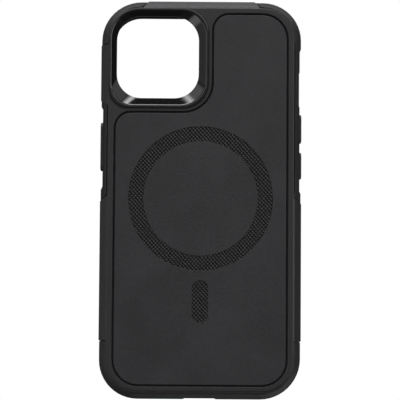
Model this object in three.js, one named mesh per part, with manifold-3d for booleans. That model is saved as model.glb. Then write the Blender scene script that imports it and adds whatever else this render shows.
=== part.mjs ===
// A two-layer protective case for a 6.1-inch phone, with a ring of magnets in its back.
// Millimetres. The case lies on its front lip: +Z is outward through its back, +Y is the
// phone's top edge, and +X is the volume-button side. The origin is the middle of the lip plane.

import * as THREE from 'three';
import { mergeVertices } from 'three/addons/utils/BufferGeometryUtils.js';
import { ConvexGeometry } from 'three/addons/geometries/ConvexGeometry.js';
import Module from 'manifold-3d';

const wasm = await Module();
wasm.setup();

// ---------------------------------------------------------------- driving dimensions

const phone = { width: 71.5, length: 146.7, thickness: 7.8, cornerRadius: 12, edgeRadius: 0.8 };
const phoneFit = 0.1;

// Heights above the lip plane, from the front of the case to its back.
const lipInside = 1.3;
const cavityBack = lipInside + phone.thickness + 0.05;
const magnetFloor = 9.6;
const sleeveBack = 10.4;
const panelFloor = 10.95;
const inlayFloor = 11.4;
const panelTop = 11.75;
const landTop = 11.8;
const softTop = 11.5;
const bezelTop = 12.6;
const wingFoot = 2.4;
const phoneMiddle = lipInside + phone.thickness / 2;

// Outlines seen from the back, as half-widths, half-lengths and corner radii.
const hardBody = { halfWidth: 39.4, halfLength: 78, radius: 15.3 };
const softBody = { halfWidth: 39.15, bottom: -78, top: 77.65, cornerRadii: [15, 15.8, 15, 15.6] };
const backPlate = { halfWidth: 36.4, halfLength: 75, radius: 12.3 };
const lipOpening = { halfWidth: 34.6, halfLength: 72.2, radius: 10.8 };
const wingThickness = 1.4;
const seam = 0.25;
const slidingGap = 0.1;

// Sloped edges: how far the end face is drawn in, over what height, in how many facets.
// An edge of several slopes is a main slope softened at its crest and at its shoulder.
const hardBackEdge = [
  { inset: 2.6, rise: 3.3, facets: 1 },
  { inset: 3.1, rise: 1.5, facets: 1 },
  { inset: 1.2, rise: 4.2, facets: 1 },
];
const softBackEdge = [
  { inset: 2.2, rise: 2.9, facets: 1 },
  { inset: 2.5, rise: 1.3, facets: 1 },
  { inset: 1.0, rise: 3.7, facets: 1 },
];
const coreBackEdge = { inset: 1.5, rise: 1.95, facets: 1 };
const frontEdge = { inset: 1.1, rise: 1.5, facets: 3 };
const wingFootEdge = { inset: 0.6, rise: 0.8, facets: 2 };
const lipFlare = { inset: 0.6, rise: 0.6, facets: 1 };
const fineEdge = { inset: 0.3, rise: 0.3, facets: 1 };

const grooveWidth = 0.87;
const panel = { halfWidth: 33.3, bottom: -72.3, top: 72.1, radius: 9.5 };
const panelNotch = { x: 4.9, y: 33.3, tipRadius: 5.9, innerRadius: 12 };

const camera = { left: -33.2, right: -1.05, bottom: 39.3, top: 71.7, radius: 9.6 };
const bezel = {
  left: -36.1, right: 2.85, bottom: 35.4, top: 74.6, cornerRadii: [7.4, 10.2, 9.8, 11.6],
  skirt: 1.2, crestInset: 0.9, throat: 10.9, flangeFloor: 11.1,
};

const ring = { innerRadius: 22.4, outerRadius: 28.15 };
const bar = { halfWidth: 3.1, bottom: -48.4, top: -32 };
const ringMagnet = { count: 18, innerRadius: 23, outerRadius: 27, angleGap: 1.4, thickness: 0.55 };
const barMagnet = { count: 2, width: 4.6, length: 7.3, spacing: 7.9 };
const carrier = { bottom: 10.2, top: 10.35, margin: 0.3 };
const pocketMargin = 0.5;

// Hard side pieces that wrap over the soft wall. low and high are their ends along the side at
// the back face; a slanted end runs in by endSlope for each millimetre towards the lip.
const endSlope = 0.6;
const sideWings = [
  { side: -1, low: 36, high: 60.4, slantLow: true, slantHigh: false },
  { side: -1, low: -55.5, high: 1.1, slantLow: false, slantHigh: true },
  { side: 1, low: -55.5, high: 0.6, slantLow: false, slantHigh: true },
];
const topWing = { halfWidth: 23 };
const snapRib = { depth: 0.5, bottom: 4.6, top: 5.4, endMargin: 4 };

// Recesses in the soft wall between the wings, with ramped ends, and the openings through it.
const muteSlot = { low: 36.3, high: 49.9, height: 5.2, recessMargin: 1, radius: 1.6 };
const sideRecesses = [
  { side: -1, low: 2.5, high: 36.4, face: 38.45, lowRamp: 4.5, highRamp: 1.2 },
  { side: 1, low: 1.9, high: 59.8, face: 38.6, lowRamp: 1.2, highRamp: 1.2 },
  {
    side: 1,
    low: muteSlot.low - muteSlot.recessMargin,
    high: muteSlot.high + muteSlot.recessMargin,
    face: 38.35,
    lowRamp: 1.2,
    highRamp: 1.2,
  },
];
const port = { halfWidth: 6, height: 6, radius: 2.4, recessHalfWidth: 6.3, recessDepth: 0.35 };
const speakerSlot = { centre: 19, halfWidth: 7, height: 2.2, radius: 1 };

const buttons = [
  { name: 'volume_up_button', side: 1, low: 22.3, high: 33.6 },
  { name: 'volume_down_button', side: 1, low: 8.1, high: 18.7 },
  { name: 'power_button', side: -1, low: 10.95, high: 30 },
];
const button = {
  face: 39.5, height: 4.8, radius: 1.9, crown: 0.45, clearance: 0.2,
  flangeInner: 36.25, flangeOuter: 36.8, shoulder: 36.9, flangeMargin: 0.8,
};

const farAway = 100;
const arcFacets = 8;
const smallArcFacets = 4;
const circleFacets = 64;

const finishes = {
  softBlack: { color: 0x232325, roughness: 0.72, metalness: 0 },
  hardBlack: { color: 0x2a2a2d, roughness: 0.5, metalness: 0 },
  panelGrey: { color: 0x313136, roughness: 0.6, metalness: 0 },
  glossBlack: { color: 0x0c0c0d, roughness: 0.12, metalness: 0 },
  weaveGrey: { color: 0x26262a, roughness: 0.8, metalness: 0 },
  nickel: { color: 0xb4b6ba, roughness: 0.3, metalness: 1 },
  film: { color: 0xd9d9d6, roughness: 0.6, metalness: 0 },
};

// ---------------------------------------------------------------- solids from geometries

function solidFrom(geometry) {
  geometry.deleteAttribute('normal');
  geometry.deleteAttribute('uv');
  const merged = mergeVertices(geometry, 1e-5);
  return new wasm.Manifold(new wasm.Mesh({
    numProp: 3,
    vertProperties: new Float32Array(merged.attributes.position.array),
    triVerts: new Uint32Array(merged.index.array),
  }));
}

function meshFrom(name, solid, finish) {
  const result = solid.getMesh();
  const geometry = new THREE.BufferGeometry();
  geometry.setAttribute('position', new THREE.BufferAttribute(result.vertProperties, 3));
  geometry.setIndex(new THREE.BufferAttribute(result.triVerts, 1));
  geometry.computeVertexNormals();
  const mesh = new THREE.Mesh(geometry, new THREE.MeshStandardMaterial(finish));
  mesh.name = name;
  return mesh;
}

// ---------------------------------------------------------------- outlines

// A closed outline of straight runs, each corner [x, y, radius] a right angle rounded by an arc.
function roundedOutline(corners) {
  const shape = new THREE.Shape();
  corners.forEach(([x, y, radius], index) => {
    const corner = new THREE.Vector2(x, y);
    const [beforeX, beforeY] = corners.at(index - 1);
    const [afterX, afterY] = corners[(index + 1) % corners.length];
    const inward = corner.clone().sub(new THREE.Vector2(beforeX, beforeY)).normalize();
    const outward = new THREE.Vector2(afterX, afterY).sub(corner).normalize();
    const start = corner.clone().addScaledVector(inward, -radius);
    const end = corner.clone().addScaledVector(outward, radius);
    const centre = start.clone().addScaledVector(outward, radius);
    const startAngle = start.clone().sub(centre).angle();
    const endAngle = end.clone().sub(centre).angle();
    if (index === 0) {
      shape.moveTo(start.x, start.y);
    }
    shape.absarc(centre.x, centre.y, radius, startAngle, endAngle, inward.cross(outward) < 0);
  });
  return shape;
}

function rectangle(left, right, bottom, top, radii) {
  const [bottomLeft, bottomRight, topRight, topLeft] = Array.isArray(radii) ? radii : Array(4).fill(radii);
  return roundedOutline([
    [left, bottom, bottomLeft],
    [right, bottom, bottomRight],
    [right, top, topRight],
    [left, top, topLeft],
  ]);
}

function centredRectangle({ halfWidth, halfLength, radius }, grow = 0) {
  const width = halfWidth + grow;
  const length = halfLength + grow;
  return rectangle(-width, width, -length, length, radius + grow);
}

function polygon(points) {
  return new THREE.Shape(points.map(([x, y]) => new THREE.Vector2(x, y)));
}

function annulus(innerRadius, outerRadius) {
  const shape = new THREE.Shape();
  shape.absarc(0, 0, outerRadius, 0, 2 * Math.PI, false);
  const hole = new THREE.Path();
  hole.absarc(0, 0, innerRadius, 0, 2 * Math.PI, true);
  shape.holes.push(hole);
  return shape;
}

// The back panel: a rounded rectangle with its upper left cut away round the camera.
function panelOutline(grow = 0) {
  const width = panel.halfWidth + grow;
  const bottom = panel.bottom - grow;
  const top = panel.top + grow;
  const notchX = panelNotch.x - grow;
  const notchY = panelNotch.y + grow;
  return roundedOutline([
    [-width, bottom, panel.radius + grow],
    [width, bottom, panel.radius + grow],
    [width, top, panel.radius + grow],
    [notchX, top, panelNotch.tipRadius + grow],
    [notchX, notchY, panelNotch.innerRadius - grow],
    [-width, notchY, panelNotch.tipRadius + grow],
  ]);
}

function cameraOutline(grow = 0) {
  const { left, right, bottom, top, radius } = camera;
  return rectangle(left - grow, right + grow, bottom - grow, top + grow, radius + grow);
}

function bezelOutline(grow = 0) {
  const { left, right, bottom, top, cornerRadii } = bezel;
  const radii = cornerRadii.map((radius) => radius + grow);
  return rectangle(left - grow, right + grow, bottom - grow, top + grow, radii);
}

function barOutline(grow = 0) {
  const width = bar.halfWidth + grow;
  return rectangle(-width, width, bar.bottom - grow, bar.top + grow, width - 0.02);
}

// ---------------------------------------------------------------- extruded solids

// A flat slab from bottom to top whose two end faces are drawn in by the same sloped edge.
function slab(outline, bottom, top, edge = null, curveSegments = arcFacets) {
  const rise = edge ? edge.rise : 0;
  const options = { depth: top - bottom - 2 * rise, curveSegments, bevelEnabled: Boolean(edge) };
  if (edge) {
    options.bevelThickness = edge.rise;
    options.bevelSize = edge.inset;
    options.bevelOffset = -edge.inset;
    options.bevelSegments = edge.facets;
  }
  const geometry = new THREE.ExtrudeGeometry(outline, options);
  geometry.translate(0, 0, bottom + rise);
  return solidFrom(geometry);
}

function boxBetween(low, high) {
  const size = new THREE.Vector3().subVectors(high, low);
  const middle = new THREE.Vector3().addVectors(low, high).multiplyScalar(0.5);
  const geometry = new THREE.BoxGeometry(size.x, size.y, size.z);
  geometry.translate(middle.x, middle.y, middle.z);
  return solidFrom(geometry);
}

function box(x0, x1, y0, y1, z0, z1) {
  return boxBetween(new THREE.Vector3(x0, y0, z0), new THREE.Vector3(x1, y1, z1));
}

function everythingBelow(height) {
  return box(-farAway, farAway, -farAway, farAway, -farAway, height);
}

function everythingAbove(height) {
  return box(-farAway, farAway, -farAway, farAway, height, farAway);
}

// A slab with one sloped edge at its front, and at its back all the slopes of another edge.
function bodySlab(outline, bottom, top, bottomEdge, topSlopes) {
  const middle = (bottom + top) / 2;
  const upper = topSlopes
    .map((slope) => slab(outline, bottom, top, slope))
    .reduce((common, sloped) => common.intersect(sloped))
    .subtract(everythingBelow(middle));
  const lower = slab(outline, bottom, top, bottomEdge).subtract(everythingAbove(middle));
  return upper.add(lower);
}

// Only the back edge is sloped; the slab runs far below the lip plane.
function core(outline, top, edge) {
  return slab(outline, -farAway, top, edge);
}

// An outline drawn in (y, z), pushed along X from one place to another.
function throughX(outline, from, to, edge = null) {
  const rise = edge ? edge.rise : 0;
  const geometry = new THREE.ExtrudeGeometry(outline, {
    depth: to - from - 2 * rise,
    curveSegments: smallArcFacets,
    bevelEnabled: Boolean(edge),
    bevelThickness: rise,
    bevelSize: edge ? edge.inset : 0,
    bevelOffset: edge ? -edge.inset : 0,
    bevelSegments: edge ? edge.facets : 1,
  });
  geometry.translate(0, 0, from + rise);
  geometry.applyMatrix4(new THREE.Matrix4().makeBasis(
    new THREE.Vector3(0, 1, 0),
    new THREE.Vector3(0, 0, 1),
    new THREE.Vector3(1, 0, 0),
  ));
  return solidFrom(geometry);
}

// An outline drawn in (x, z), pushed along Y from low to high.
function throughY(outline, low, high) {
  const geometry = new THREE.ExtrudeGeometry(outline, {
    depth: high - low,
    curveSegments: smallArcFacets,
    bevelEnabled: false,
  });
  geometry.translate(0, 0, -high);
  geometry.applyMatrix4(new THREE.Matrix4().makeBasis(
    new THREE.Vector3(1, 0, 0),
    new THREE.Vector3(0, 0, 1),
    new THREE.Vector3(0, -1, 0),
  ));
  return solidFrom(geometry);
}

function sideRange(side, inner, outer) {
  return side > 0 ? [inner, outer] : [-outer, -inner];
}

// ---------------------------------------------------------------- where the wings are

// The run of a wing at one height: slanted ends draw in towards the lip.
function wingSpan(wing, height, grow = 0) {
  const drawnIn = endSlope * (landTop - height);
  return {
    low: wing.low + (wing.slantLow ? drawnIn : 0) - grow,
    high: wing.high - (wing.slantHigh ? drawnIn : 0) + grow,
  };
}

function wingFace(wing, grow) {
  const foot = wingFoot - grow;
  const over = landTop + 1;
  const atFoot = wingSpan(wing, foot, grow);
  const atTop = wingSpan(wing, over, grow);
  return polygon([[atFoot.low, foot], [atFoot.high, foot], [atTop.high, over], [atTop.low, over]]);
}

const topWingEnds = { low: -topWing.halfWidth, high: topWing.halfWidth, slantLow: true, slantHigh: true };

// The blocks of space that the wings take up, grown all round by the gap to the soft wall.
function wingBlocks(grow = 0) {
  const innerX = backPlate.halfWidth - 3;
  const innerY = backPlate.halfLength - 3;
  const blocks = sideWings.map((wing) => {
    const [from, to] = sideRange(wing.side, innerX, farAway);
    return throughX(wingFace(wing, grow), from, to);
  });
  blocks.push(throughY(wingFace(topWingEnds, grow), innerY, farAway));
  return blocks.reduce((sum, block) => sum.add(block));
}

// Ribs inside the wings that snap into grooves of the soft wall.
function snapRibs(grow = 0) {
  const bottom = snapRib.bottom - grow;
  const top = snapRib.top + grow;
  const inner = wingThickness + snapRib.depth + grow;
  const outer = wingThickness - 0.3;
  const ribs = sideWings.map((wing) => {
    const span = wingSpan(wing, snapRib.bottom, grow - snapRib.endMargin);
    const [x0, x1] = sideRange(wing.side, hardBody.halfWidth - inner, hardBody.halfWidth - outer);
    return box(x0, x1, span.low, span.high, bottom, top);
  });
  const span = wingSpan(topWingEnds, snapRib.bottom, grow - snapRib.endMargin);
  ribs.push(box(span.low, span.high, hardBody.halfLength - inner, hardBody.halfLength - outer, bottom, top));
  return ribs.reduce((sum, rib) => sum.add(rib));
}

// ---------------------------------------------------------------- pieces

function phoneCavity() {
  const outline = centredRectangle({
    halfWidth: phone.width / 2 + phoneFit,
    halfLength: phone.length / 2 + phoneFit,
    radius: phone.cornerRadius + phoneFit,
  });
  const edge = { inset: phone.edgeRadius, rise: phone.edgeRadius, facets: 1 };
  return slab(outline, lipInside, cavityBack, edge);
}

// A shallow step in the outside of a side wall.
function sideRecess({ side, low, high, face, lowRamp, highRamp }) {
  const points = [
    [face, low + lowRamp],
    [hardBody.halfWidth, low],
    [farAway, low],
    [farAway, high],
    [hardBody.halfWidth, high],
    [face, high - highRamp],
  ];
  const outline = polygon(side > 0 ? points : points.map(([x, y]) => [-x, y]).reverse());
  return slab(outline, -1, landTop + 1);
}

// The window for a button: a hole for its cap and a wider pocket inside for its flange.
function buttonWindow(item) {
  const capOutline = buttonOutline(item, button.clearance);
  const flangeOutline = buttonOutline(item, button.flangeMargin + button.clearance);
  const innerFace = phone.width / 2 - 1;
  const cap = throughX(capOutline, ...sideRange(item.side, innerFace, farAway));
  const flange = throughX(flangeOutline, ...sideRange(item.side, innerFace, button.shoulder));
  return cap.add(flange);
}

function sideHole(side, low, high, height, radius) {
  const outline = rectangle(low, high, phoneMiddle - height / 2, phoneMiddle + height / 2, radius);
  return throughX(outline, ...sideRange(side, phone.width / 2 - 1, farAway));
}

function bottomHole(centre, halfWidth, height, radius) {
  const left = centre - halfWidth;
  const right = centre + halfWidth;
  const outline = rectangle(left, right, phoneMiddle - height / 2, phoneMiddle + height / 2, radius);
  return throughY(outline, -farAway, -(phone.length / 2 - 2));
}

function portRecess() {
  const floor = -softBody.bottom - port.recessDepth;
  const inner = port.recessHalfWidth - port.recessDepth;
  const outline = polygon([
    [-inner, -floor],
    [-port.recessHalfWidth - 1, -floor - port.recessDepth - 1],
    [port.recessHalfWidth + 1, -floor - port.recessDepth - 1],
    [inner, -floor],
  ]);
  return slab(outline, -1, landTop + 1);
}

// Where the magnets lie: one ring-shaped pocket and one for the bar below it.
function magnetPocket() {
  const inner = ringMagnet.innerRadius - pocketMargin;
  const outer = ringMagnet.outerRadius + pocketMargin;
  const ringPocket = slab(annulus(inner, outer), magnetFloor, softTop, null, circleFacets / 2);
  return ringPocket.add(slab(barOutline(0.1), magnetFloor, softTop, null, smallArcFacets));
}

function innerSleeve() {
  const coreOutline = centredRectangle(hardBody, -wingThickness - slidingGap);
  const underWings = core(coreOutline, sleeveBack, coreBackEdge);
  const openingOutline = cameraOutline(bezel.skirt + slidingGap);
  const cuts = [
    wingBlocks(seam).subtract(underWings),
    snapRibs(0.12),
    slab(centredRectangle(backPlate, seam), sleeveBack, farAway),
    slab(centredRectangle(lipOpening), -1, lipInside + 1),
    slab(centredRectangle(lipOpening, lipFlare.inset), -3, lipFlare.rise, lipFlare),
    phoneCavity(),
    slab(openingOutline, cavityBack - 1, farAway),
    ...sideRecesses.map(sideRecess),
    sideHole(1, muteSlot.low, muteSlot.high, muteSlot.height, muteSlot.radius),
    portRecess(),
    bottomHole(0, port.halfWidth, port.height, port.radius),
    bottomHole(-speakerSlot.centre, speakerSlot.halfWidth, speakerSlot.height, speakerSlot.radius),
    bottomHole(speakerSlot.centre, speakerSlot.halfWidth, speakerSlot.height, speakerSlot.radius),
    magnetPocket(),
    ...buttons.map(buttonWindow),
  ];
  const { halfWidth, bottom, top, cornerRadii } = softBody;
  const outline = rectangle(-halfWidth, halfWidth, bottom, top, cornerRadii);
  const body = bodySlab(outline, 0, softTop, frontEdge, softBackEdge);
  return cuts.reduce((rest, cut) => rest.subtract(cut), body);
}

function outerShell() {
  const plate = slab(centredRectangle(backPlate), sleeveBack - fineEdge.rise, landTop, fineEdge)
    .subtract(everythingBelow(sleeveBack));
  const envelope = bodySlab(centredRectangle(hardBody), wingFoot, landTop, wingFootEdge, hardBackEdge);
  const inside = core(centredRectangle(hardBody, -wingThickness), sleeveBack, coreBackEdge);
  const wings = envelope.intersect(wingBlocks()).subtract(inside);
  return plate.add(wings).add(snapRibs())
    .subtract(slab(panelOutline(grooveWidth), panelFloor, farAway))
    .subtract(slab(cameraOutline(bezel.skirt + slidingGap), 0, farAway))
    .subtract(slab(bezelOutline(slidingGap), bezel.flangeFloor, farAway));
}

function backPanel() {
  const body = slab(panelOutline(), panelFloor - fineEdge.rise, panelTop, fineEdge);
  return body.subtract(everythingBelow(panelFloor))
    .subtract(slab(annulus(ring.innerRadius, ring.outerRadius), inlayFloor, farAway, null, circleFacets))
    .subtract(slab(barOutline(), inlayFloor, farAway, null, smallArcFacets));
}

// The bezel's funnel runs straight from the camera opening out to the crest.
function bezelFunnel() {
  const throat = cameraOutline().extractPoints(arcFacets).shape;
  const crest = bezelOutline(-bezel.crestInset).extractPoints(arcFacets).shape;
  const at = (points, height) => points.map(({ x, y }) => new THREE.Vector3(x, y, height));
  return solidFrom(new ConvexGeometry([
    ...at(throat, bezel.throat),
    ...at(crest, bezelTop),
    ...at(crest, bezelTop + 1),
  ]));
}

function cameraBezel() {
  const crestEdge = { inset: 0.4, rise: 0.6, facets: 2 };
  const flange = slab(bezelOutline(), bezel.flangeFloor - crestEdge.rise, bezelTop, crestEdge)
    .subtract(everythingBelow(bezel.flangeFloor));
  const skirt = slab(cameraOutline(bezel.skirt), cavityBack + 0.05, bezel.flangeFloor);
  return flange.add(skirt)
    .subtract(bezelFunnel())
    .subtract(slab(cameraOutline(), 0, farAway));
}

function ringInlay() {
  const outline = annulus(ring.innerRadius + 0.05, ring.outerRadius - 0.05);
  return slab(outline, inlayFloor, panelTop - 0.02, null, circleFacets);
}

function barInlay() {
  return slab(barOutline(-0.05), inlayFloor, panelTop - 0.02, null, smallArcFacets);
}

function ringCarrier() {
  const outline = annulus(ringMagnet.innerRadius - carrier.margin, ringMagnet.outerRadius + carrier.margin);
  return slab(outline, carrier.bottom, carrier.top, null, circleFacets / 2);
}

function barCarrier() {
  return slab(barOutline(-0.1), carrier.bottom, carrier.top, null, smallArcFacets);
}

function ringMagnetAt(index) {
  const span = 2 * Math.PI / ringMagnet.count;
  const gap = THREE.MathUtils.degToRad(ringMagnet.angleGap);
  const start = index * span + gap / 2;
  const end = start + span - gap;
  const shape = new THREE.Shape();
  shape.absarc(0, 0, ringMagnet.outerRadius, start, end, false);
  shape.absarc(0, 0, ringMagnet.innerRadius, end, start, true);
  return slab(shape, magnetFloor, magnetFloor + ringMagnet.thickness, null, smallArcFacets);
}

function barMagnetAt(index) {
  const middle = (bar.bottom + bar.top) / 2 + (index - (barMagnet.count - 1) / 2) * barMagnet.spacing;
  const halfWidth = barMagnet.width / 2;
  const halfLength = barMagnet.length / 2;
  const outline = rectangle(-halfWidth, halfWidth, middle - halfLength, middle + halfLength, 0.5);
  return slab(outline, magnetFloor, magnetFloor + ringMagnet.thickness, null, smallArcFacets);
}

function buttonOutline(item, grow) {
  const bottom = phoneMiddle - button.height / 2 - grow;
  const top = phoneMiddle + button.height / 2 + grow;
  return rectangle(item.low - grow, item.high + grow, bottom, top, button.radius + grow / 2);
}

// A cap with a crowned outer face, on a wider flange that stops it falling out.
function sideButton(item) {
  const crown = { inset: button.crown, rise: button.crown, facets: 2 };
  const capRange = sideRange(item.side, button.flangeOuter - crown.rise, button.face);
  const flangeRange = sideRange(item.side, button.flangeInner, button.flangeOuter);
  const insideRange = sideRange(item.side, 0, button.flangeOuter);
  const inside = box(...insideRange, -farAway, farAway, -farAway, farAway);
  const cap = throughX(buttonOutline(item, 0), ...capRange, crown).subtract(inside);
  return cap.add(throughX(buttonOutline(item, button.flangeMargin), ...flangeRange));
}

// ---------------------------------------------------------------- assembly

const group = new THREE.Group();

group.add(meshFrom('inner_sleeve', innerSleeve(), finishes.softBlack));
group.add(meshFrom('outer_shell', outerShell(), finishes.hardBlack));
group.add(meshFrom('back_panel', backPanel(), finishes.panelGrey));
group.add(meshFrom('camera_bezel', cameraBezel(), finishes.glossBlack));
group.add(meshFrom('ring_inlay', ringInlay(), finishes.weaveGrey));
group.add(meshFrom('bar_inlay', barInlay(), finishes.weaveGrey));
group.add(meshFrom('ring_carrier_film', ringCarrier(), finishes.film));
group.add(meshFrom('bar_carrier_film', barCarrier(), finishes.film));

for (let index = 0; index < ringMagnet.count; index += 1) {
  const number = String(index + 1).padStart(2, '0');
  group.add(meshFrom(`ring_magnet_${number}`, ringMagnetAt(index), finishes.nickel));
}
for (let index = 0; index < barMagnet.count; index += 1) {
  group.add(meshFrom(`bar_magnet_${index + 1}`, barMagnetAt(index), finishes.nickel));
}
for (const item of buttons) {
  group.add(meshFrom(item.name, sideButton(item), finishes.hardBlack));
}

export default group;
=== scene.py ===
"""Looks for a two-layer phone case. All lengths below are in millimetres, unless a name says otherwise.

The case lies on its front lip: +Z points out of its back, +Y to the top of the phone, and +X to the side
with the volume buttons. Each piece is a solid made of lofts and cuts, and stands for one CAD node.
"""
import math

import bmesh
import bpy
from mathutils import Matrix, Vector, noise


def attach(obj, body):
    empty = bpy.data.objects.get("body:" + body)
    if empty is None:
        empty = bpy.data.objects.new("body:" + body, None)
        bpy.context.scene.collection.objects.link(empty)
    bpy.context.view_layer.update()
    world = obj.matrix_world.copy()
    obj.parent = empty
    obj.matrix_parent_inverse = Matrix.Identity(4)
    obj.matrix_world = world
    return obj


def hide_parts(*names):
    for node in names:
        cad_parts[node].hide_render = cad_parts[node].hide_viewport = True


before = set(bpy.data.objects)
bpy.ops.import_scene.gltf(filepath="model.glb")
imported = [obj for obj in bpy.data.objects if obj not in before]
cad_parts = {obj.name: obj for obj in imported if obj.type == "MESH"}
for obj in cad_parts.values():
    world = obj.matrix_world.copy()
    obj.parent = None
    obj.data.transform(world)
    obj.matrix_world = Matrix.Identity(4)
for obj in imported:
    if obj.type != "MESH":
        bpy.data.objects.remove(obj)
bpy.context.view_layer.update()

MM = 0.001
CORNER_STEPS = 12
FILLET_STEPS = 5
FAR = 100.0

# ---------------------------------------------------------------- dimensions

LIP_INSIDE = 1.3
CAVITY_BACK = 9.15
MAGNET_FLOOR = 9.6
SLEEVE_BACK = 10.4
PANEL_FLOOR = 10.95
INLAY_FLOOR = 11.4
PANEL_TOP = 11.75
LAND_TOP = 11.8
SOFT_TOP = 11.75
BEZEL_TOP = 12.6
WING_FOOT = 2.4
PHONE_MIDDLE = 5.2
WALL_INSIDE = 34.75
SLEEVE_SHOULDER = 8.45  # where the sleeve's wall starts to lean in under the shell

HARD = {"half_width": 39.4, "half_length": 78.0, "radius": 15.3}
PLATE_INSET = 3.0
WING_THICKNESS = 1.4
SEAM = 0.25
END_SLOPE = 0.6
GROOVE = 0.87
GROOVE_FOOT = 0.42  # both sides of the groove lean in to meet here, so that it looks dark

SIDE_WINGS = [
    {"name": "left_upper", "side": -1, "low": 36.0, "high": 60.4, "slant_low": True, "slant_high": False},
    {"name": "left_lower", "side": -1, "low": -55.5, "high": 1.1, "slant_low": False, "slant_high": True},
    {"name": "right_lower", "side": 1, "low": -55.5, "high": 0.6, "slant_low": False, "slant_high": True},
]
TOP_WING = {"name": "top", "low": -23.0, "high": 23.0, "slant_low": True, "slant_high": True}
TOP_SEAM = 0.4

BUTTONS = [
    {"body": "volume_up", "side": 1, "low": 22.3, "high": 33.6},
    {"body": "volume_down", "side": 1, "low": 8.1, "high": 18.7},
    {"body": "power", "side": -1, "low": 10.95, "high": 30.0},
]
BUTTON_HEIGHT = 4.8
BUTTON_RADIUS = 1.9
BUTTON_FACE = 39.5
BUTTON_GAP = 0.2
FLANGE_INSIDE = 36.25
FLANGE_OUTSIDE = 36.8
FLANGE_OVERLAP = 0.8

# Shallow steps in the outside of the side walls, round the buttons and deeper round the mute switch.
SIDE_STEPS = [
    {"side": -1, "low": 2.6, "high": 36.4, "face": 38.45, "low_ramp": 2.1},
    {"side": 1, "low": 1.9, "high": 59.8, "face": 38.6},
    {"side": 1, "low": 35.3, "high": 50.9, "face": 38.35},
]
MUTE_WINDOW = {"side": 1, "low": 36.3, "high": 49.9, "height": 5.2, "radius": 1.6}
PORT = {"centre": 0, "half_width": 6, "height": 6, "radius": 2.4, "flare": 0.35}
SPEAKER_SLOT = {"half_width": 7, "height": 2.2, "radius": 1.0, "flare": 0.25}
SPEAKER_CENTRES = (-19, 19)
MAGNET_INNER = 22.5
MAGNET_OUTER = 27.5

# ---------------------------------------------------------------- outlines and sections


def unit(angle):
    return Vector((math.cos(angle), math.sin(angle)))


class Outline:
    """A closed outline of straight runs whose right-angled corners (x, y, radius) are rounded by arcs."""

    def __init__(self, corners, steps=CORNER_STEPS):
        self.steps = steps
        self.arcs = []
        for index, (x, y, radius) in enumerate(corners):
            corner = Vector((x, y))
            arriving = (corner - Vector(corners[index - 1][:2])).normalized()
            leaving = (Vector(corners[(index + 1) % len(corners)][:2]) - corner).normalized()
            turn = 1 if arriving.cross(leaving) > 0 else -1
            centre = corner - arriving * radius + leaving * radius
            start = math.atan2(-arriving.x, arriving.y)
            self.arcs.append((centre, turn * radius, start, turn * math.pi / 2))

    def points(self, grow=0.0):
        result = []
        for centre, radius, start, sweep in self.arcs:
            for step in range(self.steps + 1):
                result.append(centre + unit(start + sweep * step / self.steps) * (radius + grow))
        return result


class VariedOutline:
    """An outline whose growth also depends on the place: extra(x, y) is added all along it."""

    def __init__(self, outline, extra, spacing=1.5):
        self.spots = []
        plain, outer = outline.points(0), outline.points(1)
        for index, point in enumerate(plain):
            following = plain[(index + 1) % len(plain)]
            normal = outer[index] - point
            count = max(1, round((following - point).length / spacing))
            for step in range(count):
                place = point.lerp(following, step / count)
                self.spots.append((place, normal, extra(*place)))

    def points(self, grow=0.0):
        return [place + normal * (grow + extra) for place, normal, extra in self.spots]


class Circle:
    """A round outline about the origin: its radius is what it is grown by."""

    def __init__(self, steps=180):
        self.steps = steps

    def points(self, grow=0.0):
        return [unit(2 * math.pi * step / self.steps) * grow for step in range(self.steps)]


def rectangle(left, right, bottom, top, radii, steps=CORNER_STEPS):
    if not isinstance(radii, (list, tuple)):
        radii = [radii] * 4
    corners = [(left, bottom), (right, bottom), (right, top), (left, top)]
    return Outline([(x, y, radius) for (x, y), radius in zip(corners, radii)], steps)


def centred(half_width, half_length, radius):
    return rectangle(-half_width, half_width, -half_length, half_length, radius)


def rounded(corners, steps=FILLET_STEPS):
    """A section through the corners (grow, height, radius), each of them rounded by its radius."""
    result = []
    for index, (grow, height, radius) in enumerate(corners):
        corner = Vector((grow, height))
        if radius == 0 or index in (0, len(corners) - 1):
            result.append(corner)
            continue
        back = (Vector(corners[index - 1][:2]) - corner).normalized()
        ahead = (Vector(corners[index + 1][:2]) - corner).normalized()
        half = back.angle(ahead) / 2
        centre = corner + (back + ahead).normalized() * radius / math.sin(half)
        first = corner + back * radius / math.tan(half) - centre
        turn = first.angle_signed(corner + ahead * radius / math.tan(half) - centre)
        for step in range(steps + 1):
            result.append(centre + Matrix.Rotation(-turn * step / steps, 2) @ first)
    return result


def mouth(grow, bottom, top, radius, over=1.0):
    """The section of a hole with a rounded mouth."""
    arc = [
        (grow + radius * (1 - math.cos(angle)), top - radius + radius * math.sin(angle))
        for angle in (math.pi / 2 * step / FILLET_STEPS for step in range(FILLET_STEPS + 1))
    ]
    return [(grow, bottom)] + arc + [(grow + radius, top + over)]


# ---------------------------------------------------------------- solids


def solid(name, vertices, faces):
    mesh = bpy.data.meshes.new(name)
    mesh.from_pydata([Vector(vertex) * MM for vertex in vertices], [], faces)
    work = bmesh.new()
    work.from_mesh(mesh)
    bmesh.ops.recalc_face_normals(work, faces=work.faces)
    work.to_mesh(mesh)
    work.free()
    result = bpy.data.objects.new(name, mesh)
    bpy.context.scene.collection.objects.link(result)
    return result


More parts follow.
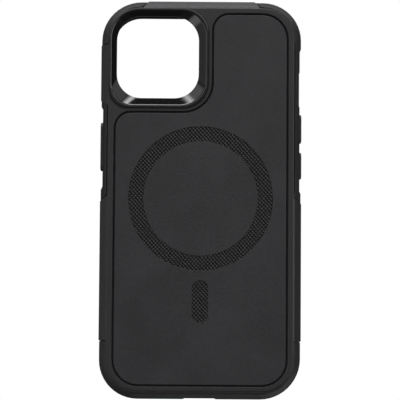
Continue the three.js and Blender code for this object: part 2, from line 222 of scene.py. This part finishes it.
def skin(name, rings, loop=False, place=None):
    """Joins rings of equal numbers of points; the ends are capped, or joined to each other in a loop."""
    count = len(rings[0])
    vertices = [Vector(point) for ring in rings for point in ring]
    if place:
        vertices = [place @ vertex for vertex in vertices]
    faces = []
    for ring in range(len(rings) if loop else len(rings) - 1):
        here = ring * count
        after = (ring + 1) % len(rings) * count
        for index in range(count):
            following = (index + 1) % count
            faces.append((here + index, here + following, after + following, after + index))
    if not loop:
        faces.append(tuple(reversed(range(count))))
        faces.append(tuple(range((len(rings) - 1) * count, len(rings) * count)))
    return solid(name, vertices, faces)


def loft(name, outline, section, loop=False, place=None):
    rings = [[(x, y, height) for x, y in outline.points(grow)] for grow, height in section]
    return skin(name, rings, loop, place)


def block(name, outline, bottom, top, grow=0.0, place=None):
    return loft(name, outline, [(grow, bottom), (grow, top)], place=place)


def annulus(name, inner, outer, bottom, top):
    section = [(inner, bottom), (outer, bottom), (outer, top), (inner, top)]
    return loft(name, Circle(), section, loop=True)


# Frames whose local z points out of a side of the case and whose local y points along +Z.
OUTWARD = {
    "right": Matrix(((0, 0, 1), (1, 0, 0), (0, 1, 0))),
    "left": Matrix(((0, 0, -1), (-1, 0, 0), (0, 1, 0))),
    "bottom": Matrix(((1, 0, 0), (0, 0, -1), (0, 1, 0))),
}


def side_name(side):
    return "right" if side > 0 else "left"


def along(side, low, high):
    """A range of y as the local x of that side's frame."""
    return (low, high) if side > 0 else (-high, -low)


def bake(piece):
    """Applies the piece's modifiers."""
    graph = bpy.context.evaluated_depsgraph_get()
    mesh = bpy.data.meshes.new_from_object(piece.evaluated_get(graph), depsgraph=graph)
    old = piece.data
    piece.modifiers.clear()
    piece.data = mesh
    mesh.name = piece.name
    bpy.data.meshes.remove(old)


def combine(piece, tools, operation):
    for tool in tools:
        step = piece.modifiers.new(tool.name, "BOOLEAN")
        step.operation = operation
        step.solver = "MANIFOLD"
        step.object = tool
    bake(piece)
    for tool in tools:
        mesh = tool.data
        bpy.data.objects.remove(tool)
        bpy.data.meshes.remove(mesh)
    return piece


def cut(piece, *tools):
    return combine(piece, tools, "DIFFERENCE")


def add(piece, *tools):
    return combine(piece, tools, "UNION")


def keep(piece, tool):
    return combine(piece, [tool], "INTERSECT")


def bevel(piece, width, segments=2, angle=35):
    step = piece.modifiers.new("bevel", "BEVEL")
    step.width = width * MM
    step.segments = segments
    step.limit_method = "ANGLE"
    step.angle_limit = math.radians(angle)
    step.harden_normals = False
    bake(piece)
    return piece


def smooth(piece, angle=32):
    piece.data.shade_smooth()
    piece.data.set_sharp_from_angle(angle=math.radians(angle))
    step = piece.modifiers.new("normals", "WEIGHTED_NORMAL")
    step.keep_sharp = True
    step.weight = 90
    bake(piece)
    return piece


# ---------------------------------------------------------------- shared outlines

hard_outline = centred(HARD["half_width"], HARD["half_length"], HARD["radius"])
soft_outline = rectangle(-39.15, 39.15, -78.0, 77.65, (15.0, 15.8, 15.0, 15.6))
panel_outline = Outline([
    (-33.3, -72.3, 9.5),
    (33.3, -72.3, 9.5),
    (33.3, 72.1, 9.5),
    (4.9, 72.1, 5.9),
    (4.9, 33.3, 12.0),
    (-33.3, 33.3, 5.9),
])
BAR_HALF_WIDTH = 3.1
BAR_LOW = -48.4
BAR_HIGH = -32.0
bar_outline = rectangle(-BAR_HALF_WIDTH, BAR_HALF_WIDTH, BAR_LOW, BAR_HIGH, BAR_HALF_WIDTH - 0.02)
RING_INNER = 22.4
RING_OUTER = 28.15

# The camera opening and the foot of its surround: left, right, bottom and top, then the corner radii from
# the lower left one round.
CAMERA_BOX = (-33.2, -1.05, 39.3, 71.7, 9.6, 9.6, 9.6, 9.6)
BEZEL_BOX = (-36.1, 2.85, 35.4, 74.6, 7.4, 10.2, 9.8, 11.6)


def boxed(box):
    left, right, bottom, top, *radii = box
    return rectangle(left, right, bottom, top, radii)


camera_outline = boxed(CAMERA_BOX)
bezel_outline = boxed(BEZEL_BOX)
SKIRT_THICKNESS = 1.2
SKIRT_ROOM = SKIRT_THICKNESS + 0.1


def funnel_outline(share):
    """Between the camera opening (share 0) and the foot of its surround (share 1)."""
    return boxed([inner + (outer - inner) * share for inner, outer in zip(CAMERA_BOX, BEZEL_BOX)])


# ---------------------------------------------------------------- outer shell

# The back edge of the hard body: the flat land, a round crest and a long slope down to the wall.
CREST_INSET = 2.75
SLOPE_BOTTOM = 8.4
CREST_RADIUS = 1.8
WING_ROOT = 4.4  # how far in from the hard outline a wing joins the plate
RIB_MIDDLE = 5.0
RIB_END_INSET = 4.0


def crest_height(grow):
    """Height of the crest's rounding at a distance inside the hard outline."""
    slope = math.atan2(LAND_TOP - SLOPE_BOTTOM, CREST_INSET)
    start = -CREST_INSET - CREST_RADIUS * math.tan(slope / 2)
    run = max(0.0, grow - start)
    return LAND_TOP - CREST_RADIUS + math.sqrt(CREST_RADIUS ** 2 - run ** 2)


def wing_end(wing, end, height):
    drawn_in = END_SLOPE * (LAND_TOP - height)
    if end == "low":
        return wing["low"] + (drawn_in if wing["slant_low"] else 0)
    return wing["high"] - (drawn_in if wing["slant_high"] else 0)


def wing_point(wing, depth, position, height):
    """The point at a depth outside the hard outline, and at a position along the wing's edge."""
    if "side" in wing:
        return (wing["side"] * (HARD["half_width"] + depth), position, height)
    return (position, HARD["half_length"] + depth, height)


def wing_solid(wing):
    """One wing: its section, from inside the plate round to its foot, run between its two ends."""
    section = rounded([
        (-WING_ROOT, LAND_TOP, 0),
        (-CREST_INSET, LAND_TOP, CREST_RADIUS),
        (0, SLOPE_BOTTOM, 1.6),
        (0, WING_FOOT, 0.6),
        (-WING_THICKNESS, WING_FOOT, 0.3),
        (-WING_THICKNESS, SLEEVE_SHOULDER, 0),
        (-WING_THICKNESS - 1.5, SLEEVE_BACK, 0),
        (-WING_ROOT, SLEEVE_BACK, 0),
    ])
    rings = [
        [wing_point(wing, grow, wing_end(wing, end, height), height) for grow, height in section]
        for end in ("low", "high")
    ]
    return bevel(skin("wing_" + wing["name"], rings), 0.3)


def wing_space(wing, grow):
    """The block of space that a wing takes up, grown by the gap to the soft wall."""
    foot, over = WING_FOOT - grow, LAND_TOP + 1
    corners = [("low", foot), ("high", foot), ("high", over), ("low", over)]
    near, far = -4.0, 12.0
    rings = []
    for depth in (near, far):
        ring = []
        for end, height in corners:
            position = wing_end(wing, end, height) + (grow if end == "high" else -grow)
            ring.append(wing_point(wing, depth, position, height))
        rings.append(ring)
    return skin("space_" + wing["name"], rings)


ALL_WINGS = SIDE_WINGS + [TOP_WING]


def snap_rib(wing, grow):
    """A rib inside a wing that snaps into a groove of the soft wall."""
    inner, outer = -WING_THICKNESS - 0.5 - grow, -WING_THICKNESS + 0.3
    inner_half, outer_half = 0.4, 0.8
    low = wing_end(wing, "low", RIB_MIDDLE - inner_half) + RIB_END_INSET - grow
    high = wing_end(wing, "high", RIB_MIDDLE - inner_half) - RIB_END_INSET + grow
    section = [
        (outer, RIB_MIDDLE - outer_half - grow),
        (outer, RIB_MIDDLE + outer_half + grow),
        (inner, RIB_MIDDLE + inner_half + grow),
        (inner, RIB_MIDDLE - inner_half - grow),
    ]
    rings = [
        [wing_point(wing, depth, position, height) for depth, height in section]
        for position in (low, high)
    ]
    return skin("rib_" + wing["name"], rings)


def make_shell():
    """The plate with its softened rim, and the wings, less the recesses for the panel and the bezel."""
    edge = -PLATE_INSET
    rim = crest_height(edge)
    section = [(edge, SLEEVE_BACK), (edge, rim - 0.1), (edge - 0.03, rim - 0.03)]
    section += [(inset, crest_height(inset)) for inset in (-3.18, -3.32, -3.46, -3.6)]
    section += [(-6.0, LAND_TOP)]
    shell = loft("case_shell", hard_outline, section)
    add(shell, *[wing_solid(wing) for wing in ALL_WINGS], *[snap_rib(wing, 0) for wing in ALL_WINGS])
    groove = [(GROOVE_FOOT, PANEL_FLOOR)]
    groove += [(GROOVE + grow, height) for grow, height in mouth(0, LAND_TOP - 0.2, LAND_TOP, 0.12)]
    cut(
        shell,
        loft("panel_recess", panel_outline, groove),
        block("skirt_hole", camera_outline, 0, FAR, SKIRT_ROOM),
        loft("bezel_recess", bezel_outline, mouth(0.1, 11.1, LAND_TOP, 0.1)),
    )
    return smooth(shell)


# ---------------------------------------------------------------- inner sleeve


def side_step(side, low, high, face, low_ramp=1.2, high_ramp=1.2):
    """A shallow step in the outside of a side wall, with ramped ends."""
    edge = HARD["half_width"]
    corners = [
        (face, low + low_ramp),
        (edge, low),
        (FAR, low),
        (FAR, high),
        (edge, high),
        (face, high - high_ramp),
    ]
    rings = [[(side * x, y, height) for x, y in corners] for height in (-1, LAND_TOP + 1)]
    return skin("step", rings)


def wall_outline(low, high, height, radius, steps=6):
    """The outline of a window or a button in a wall, centred on the phone's own buttons."""
    return rectangle(low, high, PHONE_MIDDLE - height / 2, PHONE_MIDDLE + height / 2, radius, steps)


def side_hole(side, low, high, height, radius, outer=FAR, grow=0.0):
    outline = wall_outline(*along(side, low, high), height, radius)
    return block("hole", outline, WALL_INSIDE, outer, grow, place=OUTWARD[side_name(side)])


def bottom_hole(centre, half_width, height, radius, flare):
    """A hole through the bottom wall, with a rounded mouth on the outside."""
    outline = wall_outline(centre - half_width, centre + half_width, height, radius)
    section = mouth(0, 70, HARD["half_length"] + 0.05, flare)
    return loft("hole", outline, section, place=OUTWARD["bottom"])


def port_recess():
    """The shallow step across the bottom wall, from lip to back, that the port opens into."""
    floor, outside = -77.65, -79
    corners = [(5.95, floor), (7.3, outside), (-7.3, outside), (-5.95, floor)]
    rings = [[(x, y, height) for x, y in corners] for height in (-1, LAND_TOP + 1)]
    return skin("port_recess", rings)


def seam_width(x, y):
    """The seam round the plate: open beside the buttons and the top wing, and tight elsewhere."""
    tight, widening = 0.02, 0.44
    side_low, side_high = (1.1, 64.0) if x > 0 else (-1.0, 62.0)
    beside_buttons = 0.0
    if abs(x) > 30:
        beside_buttons = min(1.0, max(0.0, (y - side_low) / 1.5), max(0.0, (side_high - y) / 5.0))
    beside_top_wing = 0.0
    if y > 60:
        beside_top_wing = max(0.0, 1 - max(0.0, abs(x) - 24.5) / 5.5)
    return tight + widening * max(beside_buttons, 0.75 * beside_top_wing)


def make_sleeve():
    """The soft tray: lip, walls and back, less the phone's pocket and the openings."""
    section = rounded([
        (-6, 0, 0),
        (-0.25, 0, 1.1),
        (0, 3.0, 2.0),
        (0, 8.2, 1.6),
        (-2.2, SOFT_TOP, 1.5),
        (-6, SOFT_TOP, 0),
    ])
    sleeve = loft("case_sleeve", soft_outline, section)
    lip = centred(34.6, 72.2, 10.8)
    cavity = centred(35.85, 73.45, 12.1)
    cavity_section = rounded([
        (-3, LIP_INSIDE, 0),
        (0, LIP_INSIDE, 0.8),
        (0, CAVITY_BACK, 0.8),
        (-3, CAVITY_BACK, 0),
    ])
    lip_section = [(0.9, -1), (0.9, 0), (0.55, 0.15), (0.2, 0.45), (0, 0.9), (0, LIP_INSIDE + 1)]
    plate = VariedOutline(centred(36.4, 75, 12.3), seam_width)
    core = centred(37.9, 76.5, 13.8)
    under_wings = loft("under_wings", core, [(0, -1), (0, SLEEVE_SHOULDER), (-1.5, SLEEVE_BACK)])
    spaces = wing_space(TOP_WING, TOP_SEAM)
    add(spaces, *[wing_space(wing, SEAM) for wing in SIDE_WINGS])
    cut(spaces, under_wings)
    cut(sleeve, spaces, *[snap_rib(wing, 0.12) for wing in ALL_WINGS])
    cut(
        sleeve,
        block("plate_pocket", plate, SLEEVE_BACK, FAR),
        loft("lip_opening", lip, lip_section),
        loft("phone_pocket", cavity, cavity_section),
        block("camera_hole", camera_outline, CAVITY_BACK - 1, FAR, SKIRT_ROOM),
        annulus("magnet_pocket", MAGNET_INNER, MAGNET_OUTER, MAGNET_FLOOR, FAR),
        block("bar_pocket", bar_outline, MAGNET_FLOOR, FAR, 0.1),
        *[side_step(**step) for step in SIDE_STEPS],
        side_hole(**MUTE_WINDOW),
    )
    openings = []
    for item in BUTTONS:
        window = (item["side"], item["low"], item["high"], BUTTON_HEIGHT, BUTTON_RADIUS)
        openings.append(side_hole(*window, grow=BUTTON_GAP))
        openings.append(side_hole(*window, outer=FLANGE_OUTSIDE + 0.1, grow=FLANGE_OVERLAP + BUTTON_GAP))
    openings.append(port_recess())
    openings.append(bottom_hole(**PORT))
    for centre in SPEAKER_CENTRES:
        openings.append(bottom_hole(centre, **SPEAKER_SLOT))
    cut(sleeve, *openings)
    return smooth(sleeve)


# ---------------------------------------------------------------- back panel


def make_panel():
    """The inset plate, with flared recesses for the ring and the bar."""
    section = rounded([(GROOVE_FOOT - 0.02, PANEL_FLOOR, 0), (0, PANEL_TOP, 0.2), (-3, PANEL_TOP, 0)])
    panel = loft("back_insert", panel_outline, section)
    flare = 0.1
    wall = mouth(0, INLAY_FLOOR + 0.05, PANEL_TOP, flare)
    ring_section = [(RING_INNER, INLAY_FLOOR), (RING_OUTER, INLAY_FLOOR)]
    ring_section += [(RING_OUTER + grow, height) for grow, height in wall]
    ring_section += [(RING_INNER - grow, height) for grow, height in reversed(wall)]
    cut(
        panel,
        loft("ring_recess", Circle(), ring_section, loop=True),
        loft("bar_recess", bar_outline, mouth(0, INLAY_FLOOR, PANEL_TOP, flare)),
    )
    return smooth(panel)


# ---------------------------------------------------------------- camera surround


def make_bezel():
    """A skirt, the funnel up to a rounded crest, and a low shoulder down to the plate."""
    foot, throat, shoulder = 9.2, 10.7, 11.15
    run = 3.3
    section = rounded([
        (0.0, foot, 0),
        (0.0, throat, 0.03),
        (run - 0.75, BEZEL_TOP + 0.04, 1.05),
        (run, BEZEL_TOP - 0.09, 0),
        (run, shoulder, 0),
    ], 7)
    rings = []
    for grow, height in section:
        rings.append([(x, y, height) for x, y in funnel_outline(grow / run).points()])
    for height in (shoulder, foot):
        rings.append([(x, y, height) for x, y in camera_outline.points(SKIRT_THICKNESS)])
    return smooth(skin("camera_funnel", rings, loop=True), 40)


# ---------------------------------------------------------------- woven inlays

WEAVE_ACROSS = 1.45
WEAVE_UP = 0.8
STRAND_LENGTH = 1.06
STRAND_WIDTH = 0.82
STRAND_LEAN = math.radians(-44)
STRAND_SQUARENESS = 0.65
STRAND_FOOT = INLAY_FLOOR + 0.02
STRAND_TOP = PANEL_TOP - 0.03
STRAND_LEVELS = [  # scale and height of a strand's outline
    (1.0, STRAND_FOOT),
    (0.98, 11.60),
    (0.90, 11.68),
    (0.62, STRAND_TOP),
]
STRAND_SIDES = 12
INLAY_GAP = 0.05
INLAY_BASE = INLAY_FLOOR + 0.06  # the top of the thin base that the strands stand on


def squarish(value):
    return math.copysign(abs(value) ** STRAND_SQUARENESS, value)


def strand(x, y):
    """The points of one strand, level by level: a squarish dome, turned a little by the place it is in."""
    drift = noise.noise(Vector((x * 0.9, y * 0.9, 3.0)))
    wander = noise.noise(Vector((x * 0.13, y * 0.13, 8.0)))
    lean = STRAND_LEAN + 0.2 * drift + 0.4 * wander
    points = []
    for scale, height in STRAND_LEVELS:
        for step in range(STRAND_SIDES):
            angle = 2 * math.pi * step / STRAND_SIDES
            u = squarish(math.cos(angle)) * STRAND_LENGTH / 2 * scale
            v = squarish(math.sin(angle)) * STRAND_WIDTH / 2 * scale * (1 + 0.1 * drift)
            across = x + u * math.cos(lean) - v * math.sin(lean)
            up = y + u * math.sin(lean) + v * math.cos(lean)
            points.append((across, up, height))
    return points


def strands(reach_x, low_y, high_y, inside):
    """Every strand of the weave whose middle passes the test, as one mesh of separate domes."""
    vertices, faces = [], []
    last_column = math.ceil(reach_x / WEAVE_ACROSS) + 1
    for row in range(math.floor(low_y / WEAVE_UP) - 1, math.ceil(high_y / WEAVE_UP) + 2):
        for column in range(-last_column, last_column + 1):
            x = (column + 0.5 * (row % 2)) * WEAVE_ACROSS
            y = row * WEAVE_UP
            if not inside(x, y):
                continue
            start = len(vertices)
            vertices += strand(x, y)
            last = len(vertices) - STRAND_SIDES
            for ring in range(start, last, STRAND_SIDES):
                for step in range(STRAND_SIDES):
                    here = ring + step
                    following = ring + (step + 1) % STRAND_SIDES
                    faces.append((here, following, following + STRAND_SIDES, here + STRAND_SIDES))
            faces.append(tuple(reversed(range(start, start + STRAND_SIDES))))
            faces.append(tuple(range(last, last + STRAND_SIDES)))
    return solid("strands", vertices, faces)


def make_ring():
    inner, outer = RING_INNER + INLAY_GAP, RING_OUTER - INLAY_GAP
    base = annulus("woven_ring", inner, outer, INLAY_FLOOR, INLAY_BASE)
    margin = STRAND_LENGTH / 2

    def inside(x, y):
        return RING_INNER - margin < math.hypot(x, y) < RING_OUTER + margin

    weave = strands(RING_OUTER, -RING_OUTER, RING_OUTER, inside)
    keep(weave, annulus("trim", inner + INLAY_GAP, outer - INLAY_GAP, INLAY_FLOOR, PANEL_TOP))
    return smooth(add(base, weave), 50)


def make_bar():
    base = block("woven_bar", bar_outline, INLAY_FLOOR, INLAY_BASE, -INLAY_GAP)
    reach = BAR_HALF_WIDTH + STRAND_LENGTH / 2
    low, high = BAR_LOW - 0.3, BAR_HIGH + 0.3

    def inside(x, y):
        past_end = max(low + BAR_HALF_WIDTH - y, y - high + BAR_HALF_WIDTH, 0)
        return math.hypot(x, past_end) < reach

    weave = strands(BAR_HALF_WIDTH, low, high, inside)
    keep(weave, block("trim", bar_outline, INLAY_FLOOR, PANEL_TOP, -2 * INLAY_GAP))
    return smooth(add(base, weave), 50)


def paint_shade_between_strands(piece):
    """The floor between the strands gets a darker, rougher material: painted shade in the gaps between the
    strands.
    """
    piece.data.materials.append(MATERIALS["painted_shade_weave_floor"])
    for face in piece.data.polygons:
        if max(piece.data.vertices[index].co.z for index in face.vertices) < (INLAY_BASE + 0.01) * MM:
            face.material_index = 1


# ---------------------------------------------------------------- buttons


def make_button(item):
    """A crowned cap on the wider flange that stops it falling out."""
    outline = wall_outline(*along(item["side"], item["low"], item["high"]), BUTTON_HEIGHT, BUTTON_RADIUS, 8)
    section = rounded([
        (-1.5, FLANGE_INSIDE, 0),
        (FLANGE_OVERLAP, FLANGE_INSIDE, 0.1),
        (FLANGE_OVERLAP, FLANGE_OUTSIDE, 0.1),
        (0, FLANGE_OUTSIDE, 0.1),
        (0, BUTTON_FACE - 0.1, 0.55),
        (-1.2, BUTTON_FACE, 0),
    ], 4)
    cap = loft(item["body"] + "_cap", outline, section, place=OUTWARD[side_name(item["side"])])
    return smooth(cap, 40)


# ---------------------------------------------------------------- materials


class Nodes:
    """Short ways to add and join the nodes of a material or world."""

    def __init__(self, tree):
        self.tree = tree
        tree.nodes.clear()

    def add(self, kind, inputs=None, **settings):
        node = self.tree.nodes.new(kind)
        for name, value in settings.items():
            setattr(node, name, value)
        for name, value in (inputs or {}).items():
            self.set(node, name, value)
        return node

    def set(self, node, name, value):
        if isinstance(value, bpy.types.NodeSocket):
            self.tree.links.new(value, node.inputs[name])
        else:
            node.inputs[name].default_value = value

    def math(self, operation, first, second=0.0, third=0.0, clamp=False):
        inputs = {0: first, 1: second, 2: third}
        return self.add("ShaderNodeMath", inputs, operation=operation, use_clamp=clamp).outputs[0]

    def ramp(self, factor, stops):
        node = self.add("ShaderNodeValToRGB", {"Fac": factor})
        elements = node.color_ramp.elements
        while len(elements) < len(stops):
            elements.new(1.0)
        for element, (position, colour) in zip(elements, stops):
            element.position = position
            element.color = (*colour, 1.0)
        return node.outputs["Color"]

    def span(self, value, from_low, from_high, to_low, to_high):
        node = self.add("ShaderNodeMapRange", {
            "Value": value,
            "From Min": from_low,
            "From Max": from_high,
            "To Min": to_low,
            "To Max": to_high,
        })
        return node.outputs["Result"]

    def noise(self, place, scale, detail, roughness=0.5):
        inputs = {"Vector": place, "Scale": scale, "Detail": detail, "Roughness": roughness}
        return self.add("ShaderNodeTexNoise", inputs).outputs["Fac"]


def moulded(name, dark, light, roughness, grain_size, grain_depth, specular=0.5, edge=0.1, coat=0.0):
    """Moulded plastic or rubber: spark-eroded grain, soft clouding of tone and softened micro edges."""
    material = bpy.data.materials.new(name)
    material.use_nodes = True
    nodes = Nodes(material.node_tree)
    place = nodes.add("ShaderNodeTexCoord").outputs["Object"]
    grain_scale = 1.0 / (grain_size * MM)
    clouds = nodes.noise(place, 60.0, 3.0)
    grain = nodes.noise(place, grain_scale, 3.0, 0.65)
    mottle = nodes.noise(place, 1100.0, 2.0)
    cells = nodes.add("ShaderNodeTexVoronoi", {"Vector": place, "Scale": 0.6 * grain_scale})
    pits = cells.outputs["Distance"]
    relief = nodes.math("ADD", nodes.math("MULTIPLY", grain, 0.7), nodes.math("MULTIPLY", pits, 0.4))
    softened = nodes.add("ShaderNodeBevel", {"Radius": edge * MM}, samples=6).outputs["Normal"]
    bump = nodes.add("ShaderNodeBump", {
        "Strength": 0.5,
        "Distance": grain_depth * MM,
        "Height": relief,
        "Normal": softened,
    }).outputs["Normal"]
    tone = nodes.math("ADD", nodes.math("MULTIPLY", clouds, 0.35), nodes.math("MULTIPLY", grain, 0.3))
    tone = nodes.math("ADD", tone, nodes.math("MULTIPLY", mottle, 0.35))
    colour = nodes.ramp(tone, [(0.35, dark), (0.65, light)])
    rough = nodes.span(tone, 0.3, 0.7, roughness - 0.04, roughness + 0.05)
    shader = nodes.add("ShaderNodeBsdfPrincipled", {
        "Base Color": colour,
        "Roughness": rough,
        "Normal": bump,
        "Specular IOR Level": specular,
        "Coat Weight": coat,
    })
    nodes.add("ShaderNodeOutputMaterial", {"Surface": shader.outputs[0]})
    return material


def nickel():
    """Nickel plate on the magnets: brushed a little along one way."""
    material = bpy.data.materials.new("nickel_plate")
    material.use_nodes = True
    nodes = Nodes(material.node_tree)
    place = nodes.add("ShaderNodeTexCoord").outputs["Object"]
    stretched = nodes.add("ShaderNodeMapping", {"Vector": place, "Scale": (1.0, 12.0, 1.0)})
    brush = nodes.noise(stretched.outputs["Vector"], 900.0, 4.0)
    rough = nodes.span(brush, 0.3, 0.7, 0.22, 0.36)
    scratches = {"Strength": 0.2, "Distance": 0.01 * MM, "Height": brush}
    bump = nodes.add("ShaderNodeBump", scratches).outputs["Normal"]
    colour = nodes.ramp(brush, [(0.3, (0.46, 0.45, 0.42)), (0.7, (0.60, 0.59, 0.56))])
    shader = nodes.add("ShaderNodeBsdfPrincipled", {
        "Base Color": colour,
        "Metallic": 1.0,
        "Roughness": rough,
        "Normal": bump,
    })
    nodes.add("ShaderNodeOutputMaterial", {"Surface": shader.outputs[0]})
    return material


MATERIALS = {
    "soft_sleeve": moulded(
        "soft_rubber", (0.0110, 0.0112, 0.0120), (0.0165, 0.0166, 0.0175),
        roughness=0.56, grain_size=0.30, grain_depth=0.03, specular=0.42, edge=0.18,
    ),
    "hard_shell": moulded(
        "hard_plastic", (0.0105, 0.0107, 0.0118), (0.0150, 0.0152, 0.0165),
        roughness=0.42, grain_size=0.22, grain_depth=0.012, edge=0.16,
    ),
    "back_panel": moulded(
        "grained_plastic", (0.0085, 0.0086, 0.0098), (0.0215, 0.0217, 0.0238),
        roughness=0.44, grain_size=0.55, grain_depth=0.045, edge=0.12,
    ),
    "gloss_bezel": moulded(
        "polished_plastic", (0.0040, 0.0041, 0.0046), (0.0060, 0.0061, 0.0066),
        roughness=0.10, grain_size=0.9, grain_depth=0.001, edge=0.04, coat=0.3,
    ),
    "woven_inlay": moulded(
        "woven_rubber", (0.0098, 0.0100, 0.0107), (0.0170, 0.0172, 0.0184),
        roughness=0.50, grain_size=0.18, grain_depth=0.02, edge=0.03,
    ),
    "button": moulded(
        "button_plastic", (0.0100, 0.0102, 0.0112), (0.0145, 0.0147, 0.0158),
        roughness=0.46, grain_size=0.20, grain_depth=0.012, edge=0.12,
    ),
    # painted shade: a darker material for the floor between the strands, in place of the shade in the gaps
    # of the weave
    "painted_shade_weave_floor": moulded(
        "painted_shade_weave_floor", (0.0055, 0.0055, 0.0057), (0.0085, 0.0085, 0.0089),
        roughness=0.85, grain_size=0.15, grain_depth=0.02, specular=0.20, edge=0.02,
    ),
    "carrier_film": moulded(
        "carrier_film", (0.030, 0.030, 0.032), (0.040, 0.040, 0.043),
        roughness=0.38, grain_size=0.5, grain_depth=0.01, edge=0.03,
    ),
    "magnet": nickel(),
}


def finish_piece(piece, slot, body, *nodes):
    piece.data.materials.clear()
    piece.data.materials.append(MATERIALS[slot])
    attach(piece, body)
    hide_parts(*nodes)


finish_piece(make_sleeve(), "soft_sleeve", "case", "inner_sleeve")
finish_piece(make_shell(), "hard_shell", "case", "outer_shell")
finish_piece(make_panel(), "back_panel", "case", "back_panel")
finish_piece(make_bezel(), "gloss_bezel", "case", "camera_bezel")
finish_piece(make_ring(), "woven_inlay", "case", "ring_inlay")
finish_piece(make_bar(), "woven_inlay", "case", "bar_inlay")
# Painted shade: the floor between the strands of both inlays gets the darker material.
for name in ("woven_ring", "woven_bar"):
    paint_shade_between_strands(bpy.data.objects[name])
for item in BUTTONS:
    finish_piece(make_button(item), "button", item["body"], item["body"] + "_button")

for name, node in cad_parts.items():
    kept = "magnet" if "magnet" in name else "carrier_film" if "carrier" in name else None
    if kept:
        for slot in node.material_slots:
            slot.material = MATERIALS[kept]

# ---------------------------------------------------------------- floor, light and camera


def make_floor():
    """A plain white floor, which neither lights the case nor shows in it."""
    half = 6.0
    mesh = bpy.data.meshes.new("floor")
    corners = [(-half, -half, 0), (half, -half, 0), (half, half, 0), (-half, half, 0)]
    mesh.from_pydata(corners, [], [(0, 1, 2, 3)])
    floor = bpy.data.objects.new("floor", mesh)
    bpy.context.scene.collection.objects.link(floor)
    material = bpy.data.materials.new("pale_floor")
    material.use_nodes = True
    nodes = Nodes(material.node_tree)
    glow = nodes.add("ShaderNodeEmission", {"Color": (1, 1, 1, 1), "Strength": 1.0})
    nodes.add("ShaderNodeOutputMaterial", {"Surface": glow.outputs[0]})
    mesh.materials.append(material)
    floor.visible_diffuse = False
    floor.visible_glossy = False


# Large soft panels round and above the case: name, azimuth counted from +X towards +Y, elevation,
# half width and half height, all in degrees, and radiance.
PANELS = [
    ("back_low", 90, -6, 50, 12, 3.6),
    ("back_high", 95, 37, 23, 8, 8.7),
    ("left_back", 134, 30, 16, 14, 1.1),
    ("left", 180, 30, 24, 14, 0.3),
    ("left_low", 180, 2, 50, 6, 0.8),
    ("front_right_low", 305, -14, 30, 12, 1.6),
    ("left_front", 217, 38, 12, 9, 1.4),
    ("right", 15, 36, 52, 10, 0.7),
    ("top_right", 10, 60, 45, 6, 0.5),
    ("right_strip", 0, 46, 22, 5, 5.0),
    ("left_strip", 180, 50, 20, 4, 2.2),
    ("top_back", 100, 66, 60, 9, 0.95),
]
PANEL_FADE = (8, 4)  # degrees over which the sides and the ends of each panel fade out

# The even surround behind the panels: elevation in degrees, and radiance.
SKY = [
    (-90, 0.05),
    (-32, 0.05),
    (-26, 0.26),
    (-4, 0.26),
    (2, 0.04),
    (20, 0.05),
    (32, 0.10),
    (64, 0.10),
    (72, 0.25),
    (90, 0.25),
]


def panel_glow(nodes, turn, rise, azimuth, elevation, half_width, half_height, radiance):
    """The glow of one panel at the direction given by its turn and rise."""
    glow = radiance
    sideways = nodes.math("SUBTRACT", turn, math.radians(azimuth))
    across = nodes.math("ABSOLUTE", nodes.math("WRAP", sideways, math.pi, -math.pi))
    upward = nodes.math("ABSOLUTE", nodes.math("SUBTRACT", rise, math.radians(elevation)))
    for distance, half, fade in zip((across, upward), (half_width, half_height), PANEL_FADE):
        edge = nodes.math("SUBTRACT", math.radians(half + fade / 2), distance)
        inside = nodes.math("DIVIDE", edge, math.radians(fade), clamp=True)
        glow = nodes.math("MULTIPLY", inside, glow)
    return glow


def make_lights():
    """The whole studio is in the world: an even surround, and the panels in front of it."""
    world = bpy.data.worlds.new("studio")
    bpy.context.scene.world = world
    world.use_nodes = True
    nodes = Nodes(world.node_tree)
    direction = nodes.add("ShaderNodeTexCoord").outputs["Generated"]
    x, y, z = nodes.add("ShaderNodeSeparateXYZ", {"Vector": direction}).outputs
    turn = nodes.math("ARCTAN2", y, x)
    rise = nodes.math("ARCSINE", z)
    share = nodes.span(rise, -math.pi / 2, math.pi / 2, 0, 1)
    strength = nodes.ramp(share, [((elevation + 90) / 180, (tone,) * 3) for elevation, tone in SKY])
    for _, *panel in PANELS:
        strength = nodes.math("ADD", strength, panel_glow(nodes, turn, rise, *panel))
    white = (0.99, 0.985, 1.0, 1.0)
    background = nodes.add("ShaderNodeBackground", {"Color": white, "Strength": strength})
    nodes.add("ShaderNodeOutputWorld", {"Surface": background.outputs[0]})


def make_camera():
    """Above the back, tilted towards the bottom of the phone, as the photographer stood."""
    tilt, roll = math.radians(4.0), math.radians(0.40)
    distance = 0.742
    target = Vector((-0.21, -0.17, 5.25)) * MM
    data = bpy.data.cameras.new("camera")
    data.sensor_width = 36
    data.lens = 169.9
    data.clip_start, data.clip_end = 0.01, 50
    camera = bpy.data.objects.new("camera", data)
    bpy.context.scene.collection.objects.link(camera)
    back = Vector((0, -math.sin(tilt), math.cos(tilt)))
    camera.location = target + back * distance
    look = back.to_track_quat("Z", "Y").to_matrix()
    camera.rotation_euler = (look @ Matrix.Rotation(roll, 3, "Z")).to_euler()
    bpy.context.scene.camera = camera


make_floor()
make_lights()
make_camera()
bpy.context.scene.view_settings.view_transform = "Standard"
